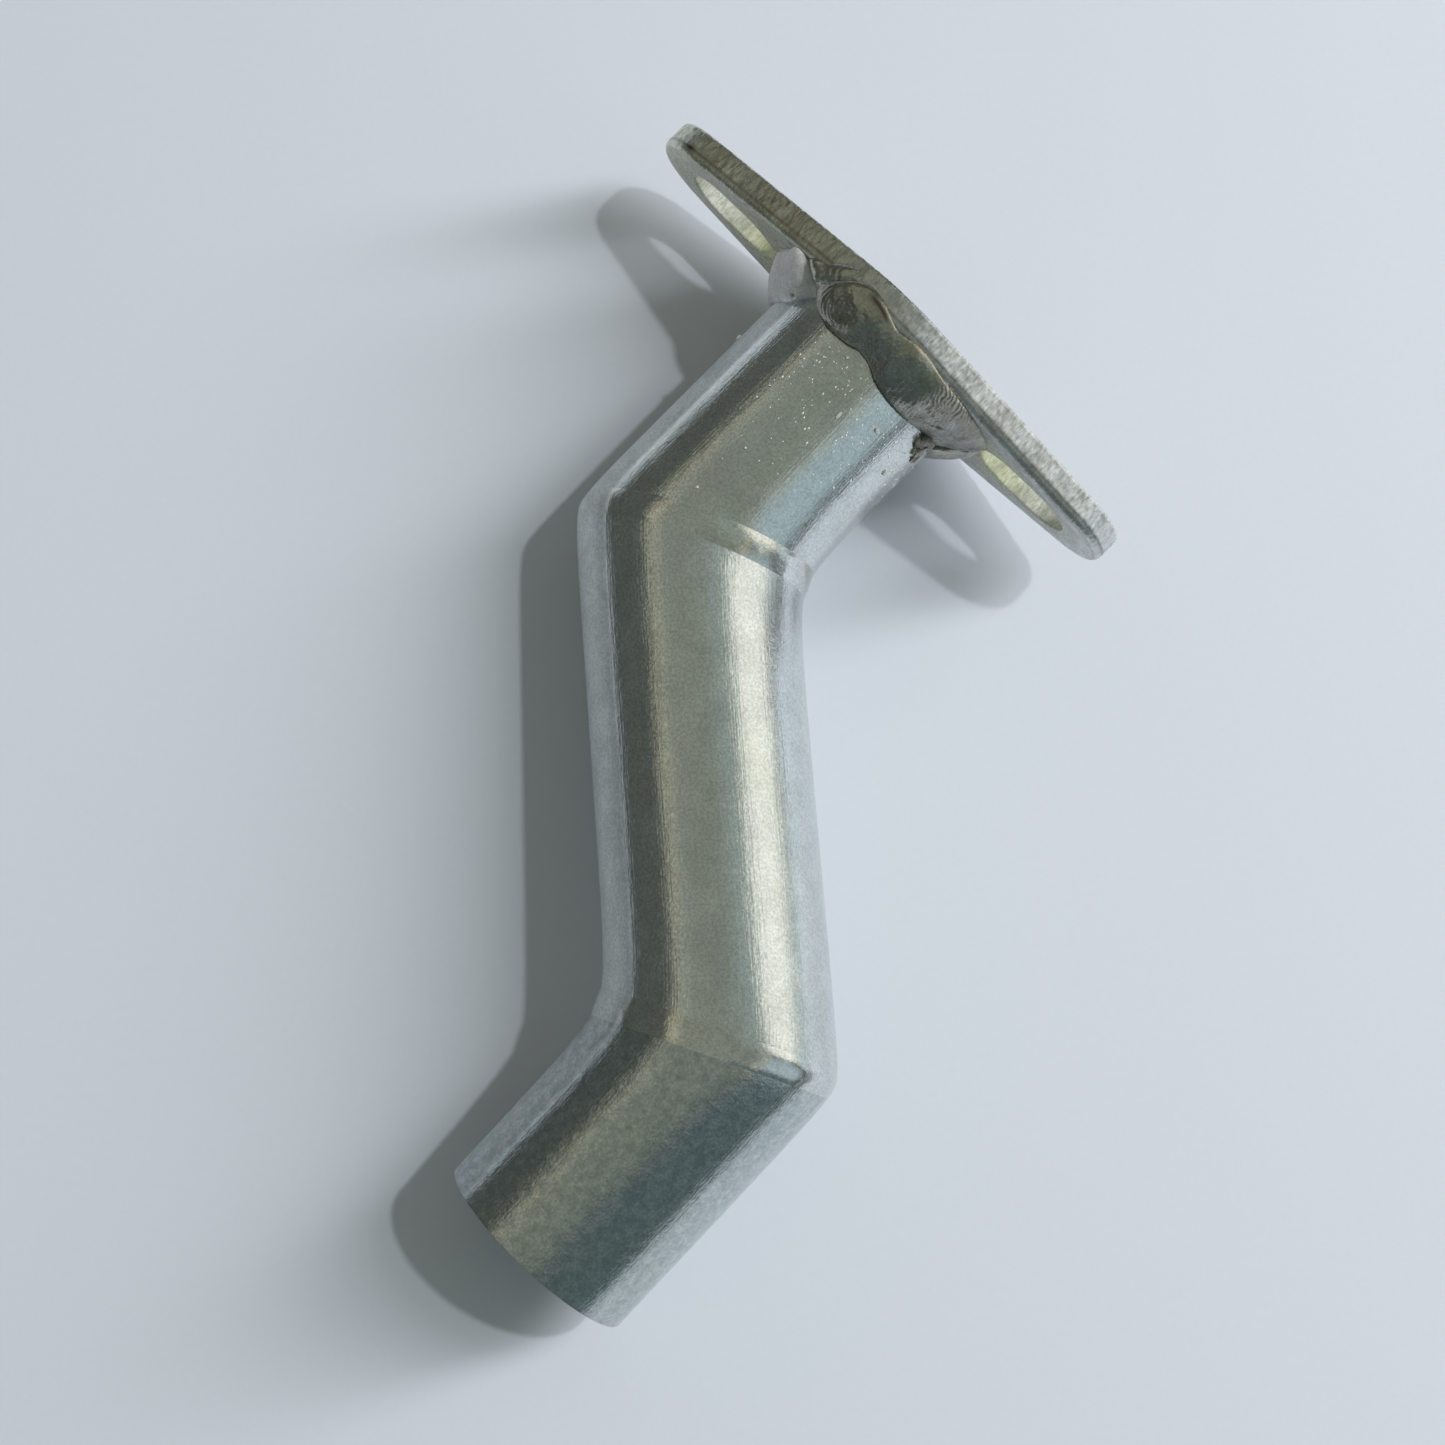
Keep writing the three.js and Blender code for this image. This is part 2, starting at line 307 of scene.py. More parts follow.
def zinc(name, clear, cloudy, straw, smoothness, speckle, straw_amount, streak=0.0, cloud_size=5.0):
    """Zinc plating on steel. smoothness is the roughness range, speckle the bump's strength."""
    material = bpy.data.materials.new(name)
    material.use_nodes = True
    tree = material.node_tree
    shader = tree.nodes["Principled BSDF"]
    grain = mark(tree, "grain", "Vector")
    soot, gold, dull, frost = (mark(tree, title) for title in MARKS)

    cloud = spread(tree, noise(tree, grain, cloud_size, 4.0, 0.6), 0.38, 0.62)
    crystal = noise(tree, grain, CRYSTAL_SIZE, 3.0, 0.65)
    patches = noise(tree, grain, FILM_SIZE, 3.0, 0.55, (0.35, 1, 1))
    film = spread(tree, patches, 0.42, 0.66, 0.0, straw_amount)
    colour = blend_colour(tree, cloud, clear, cloudy)
    colour = blend_colour(tree, film, colour, straw, "MULTIPLY")
    fleck = spread(tree, crystal, 0.34, 0.66, 0.80, 1.12)
    colour = blend_colour(tree, 1.0, colour, grey(tree, fleck), "MULTIPLY")
    colour = blend_colour(tree, gold, colour, GOLD_TINT, "MULTIPLY")
    colour = blend_colour(tree, soot, colour, SOOT_AND_SHADE_BROWN)
    # painted shade: the side of a tube away from the sun is made darker
    painted_side_shade = arithmetic(tree, "SUBTRACT", 1.0, arithmetic(tree, "MULTIPLY", dull, PAINTED_SHADE_DIMS))
    colour = blend_colour(tree, 1.0, colour, grey(tree, painted_side_shade), "MULTIPLY")
    tree.links.new(colour, shader.inputs["Base Color"])

    matt = spread(tree, arithmetic(tree, "ADD", crystal, frost), 0.35, 1.25)
    where_frosted = arithmetic(tree, "MINIMUM", arithmetic(tree, "MULTIPLY", frost, 4.0), 1.0)
    matt = arithmetic(tree, "MULTIPLY", matt, where_frosted)
    tree.links.new(arithmetic(tree, "SUBTRACT", 1.0, matt), shader.inputs["Metallic"])

    rough = spread(tree, noise(tree, grain, MOTTLE_SIZE, 4.0, 0.7), 0.35, 0.65, *smoothness)
    rough = arithmetic(tree, "ADD", rough, arithmetic(tree, "MULTIPLY", soot, SOOT_AND_SHADE_ROUGHENS))
    rough = arithmetic(tree, "ADD", rough, arithmetic(tree, "MULTIPLY", dull, SHADED_SIDE_ROUGHENS))
    tree.links.new(rough, shader.inputs["Roughness"])

    peel = arithmetic(tree, "MULTIPLY", noise(tree, grain, PEEL_SIZE, 3.0, 0.6), 1.3)
    relief = arithmetic(tree, "ADD", crystal, peel)
    if streak:
        lines = noise(tree, grain, STREAK_SIZE, 3.0, 0.6, (0.04, 1, 1))
        relief = arithmetic(tree, "ADD", relief, arithmetic(tree, "MULTIPLY", lines, streak))
    bump = node_of(tree, "ShaderNodeBump", {
        "Strength": speckle, "Distance": BUMP_DEPTH, "Height": relief})
    tree.links.new(bump.outputs["Normal"], shader.inputs["Normal"])
    return material


print("crystals", CRYSTAL_SIZE, "mm, patches of film", FILM_SIZE, "mm")

# %% [markdown]
# Seven finishes come from the one recipe. The drawn tubes are the brightest and carry
# fine lines along them. The lower tube has a darker copy of their plating, which is
# painted shade, and a finer mottle.
# The punched flange is rougher. Dressed seams are nearly as bright as the tubes, weld
# bead is darker, a cold run of weld and the big spatter are pale and matt, and the fine
# spatter is white and matt, a painted glint.

# %% Finishes
tube_zinc = zinc("zinc_on_drawn_tube", (0.79, 0.83, 0.83), (0.70, 0.74, 0.74),
                 (0.96, 0.94, 0.85), (0.09, 0.20), 0.30, 0.40, streak=1.2)
# painted shade: a darker copy of the tube plating for the lower tube, with a finer mottle
dull_zinc = zinc("zinc_on_lower_tube_painted_shade", (0.66, 0.71, 0.71), (0.50, 0.56, 0.57),
                 (0.98, 0.94, 0.84), (0.09, 0.19), 0.36, 0.40, streak=0.8, cloud_size=1.5)
flange_zinc = zinc("zinc_on_punched_plate", (0.74, 0.75, 0.75), (0.58, 0.58, 0.57),
                   (0.94, 0.91, 0.78), (0.20, 0.36), 1.0, 0.40)
pale_zinc = zinc("zinc_on_matt_bead", (0.88, 0.87, 0.87), (0.74, 0.73, 0.73),
                 (0.95, 0.92, 0.84), (0.30, 0.45), 0.5, 0.30)
# painted glint: the fine spatter is near white and mostly matt, so it shows as bright specks
glint_white_zinc = zinc("white_fine_spatter_painted_glints", (1.0, 1.0, 0.97), (0.95, 0.95, 0.93),
                  (0.98, 0.96, 0.90), (0.20, 0.30), 0.2, 0.20)
seam_zinc = zinc("zinc_on_dressed_seam", (0.79, 0.82, 0.81), (0.70, 0.73, 0.72),
                 (0.94, 0.91, 0.78), (0.10, 0.20), 0.22, 0.50)
bead_zinc = zinc("zinc_on_weld_bead", (0.56, 0.56, 0.52), (0.42, 0.41, 0.37),
                 (0.92, 0.84, 0.66), (0.16, 0.32), 0.6, 0.60)
print("materials:", [m.name for m in bpy.data.materials])

# %% [markdown]
# ## Mitred bends
#
# Each bend is two straight tubes cut at half the bend's angle and butt welded, with the
# weld then dressed down. On the outside the corner is rounded over, and on the inside the
# weld fills it into a soft hollow. A bevel modifier could round the corner, but it would
# be equally round everywhere. One formula gives both sides: along any line on the wall
# the corner's |x| becomes sqrt(x*x + ease*ease). The tubes and the seam between them
# share it, so they meet without a step.

# %% Bends
SEAM_HALF = 2.4
OUTER_EASE, INNER_EASE = 2.4, 4.4
EASE_REACH = 14.0  # how far from the corner the rounding is felt
HALF_BEND = BEND / 2


def bend_at(corner, before, after):
    """The plane that halves a bend: its normal, its outward way and the third way."""
    along, outward = unit(before + after), unit(before - after)
    return {"corner": corner, "along": along, "outward": outward, "side": np.cross(along, outward)}


def eased_corner(bend, distance, radial):
    """How far the wall moves at a given distance from the cut, along the outward way."""
    inner = 0.5 - 0.5 * (radial @ bend["outward"])
    ease = OUTER_EASE + (INNER_EASE - OUTER_EASE) * inner
    fade = np.exp(-((distance / EASE_REACH) ** 2))
    move = -math.sin(HALF_BEND) * (np.sqrt(distance**2 + ease**2) - np.abs(distance)) * fade
    return move[:, None] * bend["outward"]


def cut_distance(radial, way, radius, bend):
    """Where each line along the wall meets the cut, measured from the corner."""
    return -radius * (radial @ bend["along"]) / (way @ bend["along"])


first_bend = bend_at(first_corner, upper_way, middle_way)
second_bend = bend_at(second_corner, middle_way, lower_way)
print("the corners move by", round(OUTER_EASE * math.sin(HALF_BEND), 2), "mm outside and",
      round(INNER_EASE * math.sin(HALF_BEND), 2), "mm inside")

# %% [markdown]
# ## Tubes
#
# A tube is a closed wall: an outer skin, an inner skin, and a ring at each end that joins
# them. A cylinder with a Solidify modifier would give that, but not the slanting cuts. A
# real cut tube has a small rounded lip where the saw's burr was taken off, so the open
# end gets a few extra rings. The drawn tube isn't perfectly true either: it waves by a
# few hundredths of a millimetre, which is what makes its long reflections wander.

# %% Tube helper
SIDES = 288
SKIN_SPACING, BORE_SPACING = 0.7, 2.5
LIP, LIP_STEPS = 0.35, 5
SHADED_SIDE_FROM, SHADED_SIDE_FULL = 0.75, 0.81  # how far the wall faces sideways
turn = np.linspace(0, 2 * math.pi, SIDES, endpoint=False)


def shaded_rough_strip(radial, way):
    """1 on a strip down the side of a tube away from the sun, which is roughened and darkened with
    painted shade.
    """
    side = unit(np.cross(way, (0, 0, -1)))
    return smooth(SHADED_SIDE_FROM, SHADED_SIDE_FULL, radial @ (side if side[0] < 0 else -side))


def unevenness(points, start, way, seed):
    """The drawn tube's waves, four times as long along it as round it, and its fine ripple."""
    shortened = points - 0.75 * ((points - start) @ way)[:, None] * way
    return (0.014 * wander(shortened, 10, seed) + 0.004 * wander(points, 3.5, seed + 1))[:, None]


def tube_piece(name, node, start, way, length, first=None, last=None, seed=1, metal=tube_zinc):
    """A length of tube from start, with a bend or a square end at each end."""
    outward = (first or last)["outward"]
    reference = unit(outward - (outward @ way) * way)
    across = np.cross(way, reference)
    radial = np.cos(turn)[:, None] * reference + np.sin(turn)[:, None] * across
    square = np.zeros(SIDES)

    def wall(radius, spacing):
        start_cut = cut_distance(radial, way, radius, first) if first else square
        end_cut = cut_distance(radial, way, radius, last) if last else square
        low = start_cut + SEAM_HALF if first else square
        high = length + (end_cut - SEAM_HALF if last else square)
        share = (1 - np.cos(np.linspace(0, math.pi, int(length / spacing)))) / 2
        rings = []
        for t in share:
            s = low + (high - low) * t
            points = start + s[:, None] * way + radius * radial
            if radius == RADIUS:
                if first:
                    points = points + eased_corner(first, s - start_cut, radial)
                if last:
                    points = points + eased_corner(last, length + end_cut - s, radial)
                points = points + unevenness(points, start, way, seed) * radial
            rings.append((points, s))
        return rings

    skin, bore = wall(RADIUS, SKIN_SPACING), wall(BORE, BORE_SPACING)
    if last is None:  # the lip of the open end
        end = start + length * way
        skin[-1] = (skin[-1][0] - LIP * way, skin[-1][1])
        for a in np.arange(1, LIP_STEPS + 1) / LIP_STEPS * math.pi / 2:
            lip_radius = RADIUS - LIP * (1 - math.cos(a))
            skin.append((end + LIP * math.sin(a) * way - LIP * way + lip_radius * radial,
                         np.full(SIDES, length)))
    rings = skin + bore[::-1]
    round_it = (RADIUS * np.cos(turn), RADIUS * np.sin(turn))
    grain = np.concatenate([np.stack([s, *round_it], 1) for points, s in rings])
    grain[:, 0] += 100 * seed
    make_piece(name, np.concatenate([points for points, s in rings]),
               grid_faces(len(rings), SIDES, close_rows=True), metal, node,
               "zinc_plated_tube", grain, dull=np.tile(shaded_rough_strip(radial, way), len(rings)))


# %% The three tubes
tube_piece("upper_tube_wall", "upper_tube", flange_centre, upper_way,
           UPPER_LENGTH, last=first_bend, seed=3)
tube_piece("middle_tube_wall", "middle_tube", first_corner, middle_way,
           MIDDLE_LENGTH, first_bend, second_bend, seed=5)
tube_piece("lower_tube_wall", "lower_tube", second_corner, lower_way,
           LOWER_LENGTH, first=second_bend, seed=7, metal=dull_zinc)

# %% [markdown]
# ## Seams
#
# The seam is the strip of dressed weld between two tubes. It could be a texture painted
# over the joint, but it stands a little proud and catches the light, so it's a ring of
# its own. It uses the same rounded corner and adds what dressing leaves: a crown, low on
# the outside of the bend and higher on the inside, which is harder to grind, and never
# quite even round the tube.

# %% Seams
SEAM_COLUMNS = 25
CROWN, INSIDE_CROWN = 0.10, 0.24


def seam_piece(name, node, bend, before, after, seed):
    """The ring of weld metal across a bend, outside and inside."""
    across = np.linspace(-SEAM_HALF, SEAM_HALF, SEAM_COLUMNS)
    skins = []
    for radius, columns in ((RADIUS, across), (BORE, across[::-2])):
        for x in columns:
            way = before if x < 0 else after
            reference = unit(bend["outward"] - (bend["outward"] @ way) * way)
            radial = np.cos(turn)[:, None] * reference + np.sin(turn)[:, None] * bend["side"]
            cut = (radius / math.cos(HALF_BEND)) * np.cos(turn)[:, None] * bend["outward"]
            points = bend["corner"] + cut + radius * np.sin(turn)[:, None] * bend["side"] + x * way
            if radius == RADIUS:
                points = points + eased_corner(bend, np.full(SIDES, x), radial)
                edge = 1 - smooth(0.6, 1.0, abs(x) / SEAM_HALF)
                uneven = 0.016 * wander(points, 5.0, seed) + 0.012 * wander(points, 2.2, seed + 1)
                inside = smooth(-0.2, 0.8, radial @ -bend["outward"])
                crown = (CROWN + INSIDE_CROWN * inside) * (1 - (x / SEAM_HALF) ** 2)
                points = points + (edge * uneven + crown)[:, None] * radial
            grain = np.stack([np.full(SIDES, x), radius * np.cos(turn), radius * np.sin(turn)], 1)
            skins.append((points, grain, shaded_rough_strip(radial, way)))
    points, grain, dull = (np.concatenate([skin[i] for skin in skins]) for i in range(3))
    grain[:, 0] += 100 * seed
    faces = grid_faces(len(skins), SIDES, close_rows=True)
    make_piece(name, points, faces, seam_zinc, node, "dressed_seam", grain, dull=dull)


seam_piece("first_bend_seam", "first_mitre_weld", first_bend, upper_way, middle_way, 11)
seam_piece("second_bend_seam", "second_mitre_weld", second_bend, middle_way, lower_way, 13)

# %% [markdown]
# ## Flange outline
#
# The flange is a 5 mm oval stamped from plate, with a slot at each end for a bolt. Its
# outline is arcs joined by straight flanks. A curve object could hold it, but the rim
# needs points spaced evenly and closely all the way round for the relief that comes next,
# so the outline is worked out as points from the start.

# %% Flange outline
THICKNESS = 5.0
WAIST, END_RADIUS, HALF_LENGTH = 22.0, 10.0, 47.6
SLOT_SPACING, SLOT_LENGTH, SLOT_WIDTH = 63.0, 17.5, 13.0
OUTLINE_SPACING, MOUTH_SPACING = 0.35, 0.6


def arc(centre_x, radius, start, stop, spacing=OUTLINE_SPACING):
    """Points on an arc about (centre_x, 0), from the start angle to the stop angle."""
    angle = np.linspace(start, stop, max(3, int(abs(stop - start) * radius / spacing)))
    return np.stack([centre_x + radius * np.cos(angle), radius * np.sin(angle)], 1)


def filled_line(points):
    """A closed outline with its long straight stretches given points of their own."""
    out = []
    for here, there in zip(points, np.roll(points, -1, axis=0)):
        count = max(1, int(np.linalg.norm(there - here) / OUTLINE_SPACING))
        out += [here + (there - here) * i / count for i in range(count)]
    return np.array(out)


def flange_outline():
    """The oval: a round waist and two smaller round ends, joined by straight flanks."""
    reach = HALF_LENGTH - END_RADIUS
    tangent = math.acos((WAIST - END_RADIUS) / reach)
    return filled_line(np.concatenate([
        arc(reach, END_RADIUS, -tangent, tangent),
        arc(0, WAIST, tangent, math.pi - tangent),
        arc(-reach, END_RADIUS, math.pi - tangent, math.pi + tangent),
        arc(0, WAIST, math.pi + tangent, 2 * math.pi - tangent)]))


def slot_outline(centre):
    half = (SLOT_LENGTH - SLOT_WIDTH) / 2
    return filled_line(np.concatenate([
        arc(centre + half, SLOT_WIDTH / 2, -math.pi / 2, math.pi / 2),
        arc(centre - half, SLOT_WIDTH / 2, math.pi / 2, 1.5 * math.pi)]))


def outline_normals(outline):
    """The way out of a closed outline at each of its points."""
    tangent = np.roll(outline, -1, axis=0) - np.roll(outline, 1, axis=0)
    return unit(np.stack([tangent[:, 1], -tangent[:, 0]], 1))


print("points round the flange:", len(flange_outline()))

# %% [markdown]
# ## Stamped walls
#
# Stamping leaves a soft rolled-over front edge, then a smooth sheared band, and below it
# a rough torn band that covers most of the rim. An extruded outline with a bevel would be
# quicker, but the torn band needs real relief. So the rim is a stack of rings round the
# outline, pushed in and out by noise that is stretched across the plate like the tear
# marks. The walls of the slots and the mouth of the bore are made the same way, with a
# smaller roll and less tearing.

# %% Stamped walls
ROLL_RINGS, WALL_RINGS = 7, 22
BACK_BREAK = 0.35


def wall_rings(outline, outward, rolled, roughness, seed, torn_from):
    """Rings down a stamped wall: (points, depth) from front to back. outward is 1 or -1."""
    normals = outline_normals(outline) * outward
    roll = rolled * (1 - np.cos(np.linspace(0, math.pi / 2, ROLL_RINGS)))
    tear = torn_from * THICKNESS
    rings = []
    for depth in np.concatenate([roll, np.linspace(rolled, THICKNESS, WALL_RINGS)[1:]]):
        short = 1 - min(depth / rolled, 1.0)
        over = rolled * (1 - math.sqrt(max(0.0, 1 - short**2)))
        place = np.stack([outline[:, 0], outline[:, 1], np.full(len(outline), 0.6 * depth)], 1)
        marks = wander(place, 0.7, seed, 60) * 0.6 + wander(place, 1.9, seed + 1) * 0.3
        torn = smooth(tear, tear + 0.5, depth)
        push = -over * 0.9 + torn * (roughness * marks - 0.10 * (depth - tear) / THICKNESS)
        back_edge = smooth(THICKNESS - BACK_BREAK, THICKNESS, depth)
        rings.append((outline + normals * (push - 0.25 * back_edge)[:, None], depth))
    return rings


def face_between(loops, places):
    """Triangles over a flat region bounded by loops of point numbers."""
    work = bmesh.new()
    made = {i: work.verts.new(places[i]) for loop in loops for i in loop}
    numbers = {v: i for i, v in made.items()}
    edges = [work.edges.new((made[a], made[b]))
             for loop in loops for a, b in zip(loop, loop[1:] + loop[:1])]
    filled = bmesh.ops.triangle_fill(work, use_beauty=True, use_dissolve=False, edges=edges)
    faces = [tuple(numbers[v] for v in f.verts)
             for f in filled["geom"] if isinstance(f, bmesh.types.BMFace)]
    work.free()
    return faces


# %% [markdown]
# The rim isn't one colour. Its left half has a yellowish film, its upper right half is
# matt where the tears catch the sun, thin dark lines follow the front edge and the start
# of the torn band, and one burn pit marks the left end. In the slots the plating is
# yellow, most of all towards the tube. Each wall's function gives its soot, gold and
# frost, so the marks follow the shape rather than a painted image.

# %% Marks on the stamped walls
PIT = (-42.5, 8.9, 1.4)  # measured: along the oval, across it, behind the front face


def rim_marks(ring, depth):
    along, across = ring[:, 0], ring[:, 1]
    patchy = 0.5 + 0.5 * wander(np.column_stack([ring, np.full(len(ring), depth)]), 1.1, 61)
    lines = hump(depth, 1.45, 0.25) + 0.7 * hump(depth, 0.1, 0.12)
    from_pit = (along - PIT[0]) ** 2 + (across - PIT[1]) ** 2 + (1.6 * (depth - PIT[2])) ** 2
    soot = 0.6 * lines * np.clip(0.6 + 0.5 * patchy, 0, 1) + 0.7 * np.exp(-from_pit / 1.1)
    torn = smooth(1.2, 2.4, depth) * smooth(-2, 16, along) * smooth(-4, 4, across)
    return soot, 0.3 * smooth(-4, 14, -along), torn * (0.26 + 0.24 * np.clip(patchy, 0, 1))


def slot_marks(ring, depth):
    nothing = np.zeros(len(ring))
    return nothing, 0.30 + 0.55 * smooth(36, 25, np.abs(ring[:, 0])), nothing + 0.6


def mouth_marks(ring, depth):
    nothing = np.zeros(len(ring))
    return nothing, 0.3 * smooth(-4, 14, -ring[:, 0]), nothing


# %% Flange
def flange_place(outline, depth):
    """Points of an outline on the flange at a depth behind its front face."""
    on_face = flange_centre + outline[:, :1] * oval_way + outline[:, 1:] * cross_way
    return on_face - np.full((len(outline), 1), depth) * upper_way


def flange_piece():
    mouth = arc(0, BORE, 0, 2 * math.pi, MOUTH_SPACING)[:-1]
    walls = (  # outline, outward, rolled edge, roughness, seed, where the tear starts, marks
        (flange_outline(), 1, 1.2, 0.085, 21, 0.26, rim_marks),
        (slot_outline(SLOT_SPACING / 2), -1, 0.35, 0.05, 23, 0.3, slot_marks),
        (slot_outline(-SLOT_SPACING / 2), -1, 0.35, 0.05, 25, 0.3, slot_marks),
        (mouth, -1, 0.3, 0.02, 27, 0.3, mouth_marks))
    points, faces, grain, marks, front, rear = [], [], [], [], [], []
    count = 0
    for number, (outline, outward, *cut, marks_on) in enumerate(walls):
        rings, size = wall_rings(outline, outward, *cut), len(outline)
        for ring, depth in rings:
            points.append(flange_place(ring, depth))
            grain.append(np.column_stack([np.full(size, depth * 0.35 + 10 * number), ring]))
            marks.append(np.stack(marks_on(ring, depth)))
        wall = grid_faces(len(rings), size, count)
        faces += wall if outward > 0 else [f[::-1] for f in wall]
        front.append(list(range(count, count + size)))
        count += len(rings) * size
        rear.append(list(range(count - size, count)))
    points = np.concatenate(points)
    from_centre = points - flange_centre
    flat = np.stack([from_centre @ oval_way, from_centre @ cross_way, np.zeros(len(points))], 1)
    faces += face_between(front, flat)
    faces += [f[::-1] for f in face_between(rear, flat)]
    soot, gold, frost = np.concatenate(marks, 1)
    make_piece("flange_oval", points, faces, flange_zinc, "flange_plate",
               "zinc_plated_flange", np.concatenate(grain), sharp_degrees=50,
               soot=soot, gold=gold, frost=frost)


flange_piece()

# %% [markdown]
# ## Fillet weld
#
# The tube is joined to the flange by a weld run by hand in four goes. Each run is a bead
# with a curved section, carried round the tube. A bevelled curve would give a bead of one
# size, but the welder's hand wasn't so even, so each run has a table of how far it
# reaches along the tube and out over the flange, and of how much it swells, every few
# degrees. For the runs in view, most of the reaches follow points that another script
# measured on the real weld, and the swells are by eye. The table is eased between its
# rows, and small crescent ripples mark the puddles.

# %% One run of weld
ACROSS, ROOT = 61, 3  # points over a bead's face, and under it
MEAN_RADIUS = 19.5  # half way up a bead: turns an angle into a length


def rounded_end(angle, ends, nose):
    """1 along a run, falling to 0 at its ends as a round nose does."""
    grow = 1.0
    for end, length in zip(ends, nose):
        d = min(1.0, abs(angle - end) / length)
        grow *= math.sqrt(max(0.0, 1 - (1 - d) ** 2))
    return grow


def bead_run(name, node, start, stop, hand, nose, ripple, seed, arch_power=0.6, detail=None,
             metal=bead_zinc):
    """One weld run round the tube, in degrees. hand lists (degrees, reach along the tube,
    x and radius of the edge on the flange, swell), and nose the length of each round end."""
    angles = np.linspace(start, stop, max(8, int(abs(stop - start) * 1.8)))
    share = (1 - np.cos(np.linspace(0, math.pi, ACROSS))) / 2
    arch, bow = 4 * share * (1 - share), 1.6 * (2 * share - 1) ** 2
    table = np.array(sorted(hand), float)
    near = np.exp(-(((angles[:, None] - angles[None, :]) / 1.6) ** 2))
    near /= near.sum(1, keepdims=True)
    eased = [near @ np.interp(angles, table[:, 0], table[:, i]) for i in (1, 2, 3, 4)]
    pitch, height = ripple
    points, grain, soot, frost = [], [], [], []
    for angle, on_tube, edge_x, edge_r, swell in zip(angles, *eased):
        a = math.radians(angle)
        radial = math.cos(a) * bend_side + math.sin(a) * bend_normal
        grow = rounded_end(angle, (start, stop), nose)
        close = max(0.02, min(1.0, 3 * grow))
        foot, edge = np.array([on_tube, RADIUS]), np.array([edge_x, edge_r])
        middle = (foot + edge) / 2
        foot, edge = middle + (foot - middle) * close, middle + (edge - middle) * close
        chord = unit(edge - foot)
        outward = np.array([chord[1], -chord[0]])
        profile = foot + share[:, None] * (edge - foot)
        run = a * MEAN_RADIUS
        wave = np.sin(2 * math.pi * (run + bow) / pitch)
        place = np.stack([np.full(ACROSS, run), profile[:, 0], profile[:, 1]], 1)
        uneven = 0.08 * wander(place, 3.5, seed) + 0.03 * wander(place, 1.2, seed + 1)
        lift = swell * grow * arch**arch_power + height * wave * arch**0.5
        lift = lift + arch**0.5 * uneven
        dark, matt = np.zeros(ACROSS), np.zeros(ACROSS)
        if detail:
            more, dark, matt = detail(angle, share, place, arch)
            lift = lift + more
        under = RADIUS - 0.6
        root = [[max(-1.0, edge[0] - 0.3), RADIUS + 1.0], [0.2, under], [foot[0], under]]
        section = np.concatenate([profile + lift[:, None] * outward, root])
        points.append(flange_centre + section[:, :1] * upper_way + section[:, 1:] * radial)
        grain.append(np.column_stack([np.full(ACROSS + ROOT, run), section]))
        soot.append(np.pad(dark, (0, ROOT)))
        frost.append(np.pad(matt, (0, ROOT)))
    rows, size = len(angles), ACROSS + ROOT
    faces = grid_faces(rows, size)
    faces += [tuple(range(size - 1, -1, -1)), tuple(range((rows - 1) * size, rows * size))]
    make_piece(name, np.concatenate(points), faces, metal, node, "fillet_bead",
               np.concatenate(grain), sharp_degrees=60,
               soot=np.concatenate(soot), frost=np.concatenate(frost))


# %% [markdown]
# ### What each run shows
#
# The run facing up is the thickest. It starts in a round nose with ripples and a hollow
# beside its crown, flows over the flange's rolled edge, and thins out in a tail with wavy
# lines, and the metal at its edges is burnt brown. Behind the nose, an earlier puddle
# froze with a bowl in it, drawn darker, a bead beside the bowl and rings round the bead.
# The run down the far side starts as a matt, cold-looking lump with a pin hole, a shallow
# dent painted dark as painted shade. Sculpting them by brush couldn't be repeated, so each
# is a sum of a few shapes, placed by degrees round the tube. Each function is given the
# same four things, and answers with what it adds to the height, the soot and painted
# shade, and the frost.

# %% Details of the runs
def bump_at(place, degrees, x, radius, size):
    """1 at a spot on a run, easing to 0 away from it, and the distance from it in mm."""
    spot = np.array([math.radians(degrees) * MEAN_RADIUS, x, radius])
    distance = np.linalg.norm(place - spot, axis=1)
    return np.exp(-((distance / size) ** 2)), distance


def front_detail(angle, share, place, arch):
    hollow, distance = bump_at(place, 93, 1.9, 19.0, 1.5)
    rings = np.sin(2 * math.pi * distance / 0.60)
    rings = rings * smooth(88, 97, angle) * smooth(5.5, 4.0, distance)
    tail = smooth(47, 38, angle) * smooth(-6, 4, angle)
    slant = place[:, 0] + 0.9 * place[:, 1] + 0.25 * wander(place, 2.5, 71)
    lines = np.sin(2 * math.pi * slant / 0.62)
    crack = hump(share, 0.93, 0.035) * smooth(74, 79, angle) * smooth(90, 85, angle)
    lift = arch**0.5 * (0.050 * rings - 0.40 * hollow + 0.085 * tail * lines) - 0.12 * crack

    toe = np.exp(-((share / (0.035 + 0.035 * smooth(52, 36, angle))) ** 2))
    toe = toe * (0.35 + 0.65 * smooth(112, 100, angle))
    grooves = smooth(0.45, 1.1, 0.5 + 0.5 * lines + 0.25 * wander(place, 2.2, 72))
    stain = 0.05 + 0.20 * smooth(96, 104, angle) + 0.55 * tail * grooves
    dark = np.clip(0.75 * toe + stain + 0.8 * crack, 0, 0.9)
    return lift, dark, 0.60 * tail * smooth(0.1, 0.8, 0.5 - 0.4 * lines)


def crater_detail(angle, share, place, arch):
    bowl, _ = bump_at(place, 123, 0.9, 19.2, 2.0)
    bead, distance = bump_at(place, 113, -0.2, 20.8, 0.9)
    rings = np.sin(2 * math.pi * distance / 0.95)
    rings = rings * smooth(0.8, 1.6, distance) * smooth(120, 114, angle)
    return arch**0.4 * (-0.5 * bowl + 0.45 * bead + 0.06 * rings), 0.30 * bowl, 0.0 * share


def side_detail(angle, share, place, arch):
    hole, _ = bump_at(place, 128, 4.6, 18.0, 0.35)
    # painted shade: the pin hole is a shallow dent painted dark for the shade inside it
    return -0.6 * hole, 0.9 * hole, 0.8 * (1 - 0.9 * smooth(0.16, 0.05, share))


